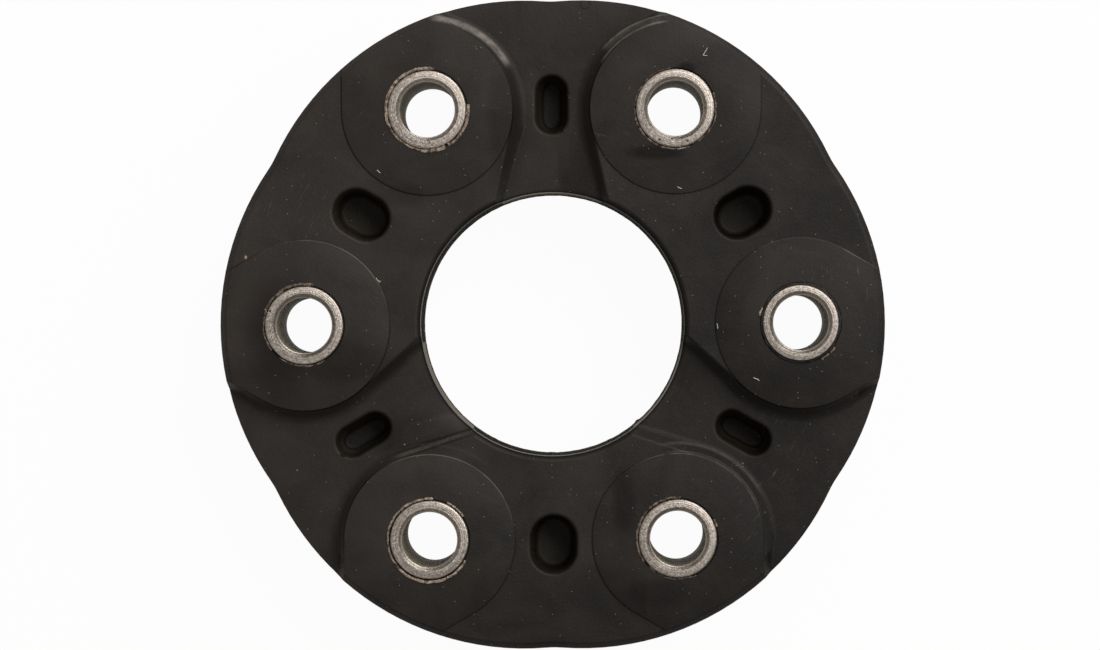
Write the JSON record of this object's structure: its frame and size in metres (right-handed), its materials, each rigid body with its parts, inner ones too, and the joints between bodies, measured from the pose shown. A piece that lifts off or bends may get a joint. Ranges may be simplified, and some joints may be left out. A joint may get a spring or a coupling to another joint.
{
  "type": "rubber flex disc",
  "caption": "Round rubber flex coupling disc with steel bolt bushes, alternately raised and recessed sectors, blind pockets and a centre hole.",
  "frame": {"origin": "the disc's centre, on the axis of its centre hole and halfway through its thickness", "axes": "+Z along the disc's axis, out of the face seen in the picture; +X through the axis of one bush"},
  "size_m": [0.1406, 0.1374, 0.034],
  "materials": {
    "moulded_rubber": "matte, dusty",
    "bush_steel": "turned, lightly rusted",
    "cord": "rubber-dipped"
  },
  "bodies": {
    "root": {"rubber_body": "moulded_rubber", "bush_1": "bush_steel", "bush_2": "bush_steel", "bush_3": "bush_steel", "bush_4": "bush_steel", "bush_5": "bush_steel", "bush_6": "bush_steel", "front_winding_1": "cord", "front_winding_2": "cord", "front_winding_3": "cord", "back_winding_1": "cord", "back_winding_2": "cord", "back_winding_3": "cord"}
  },
  "joints": []
}
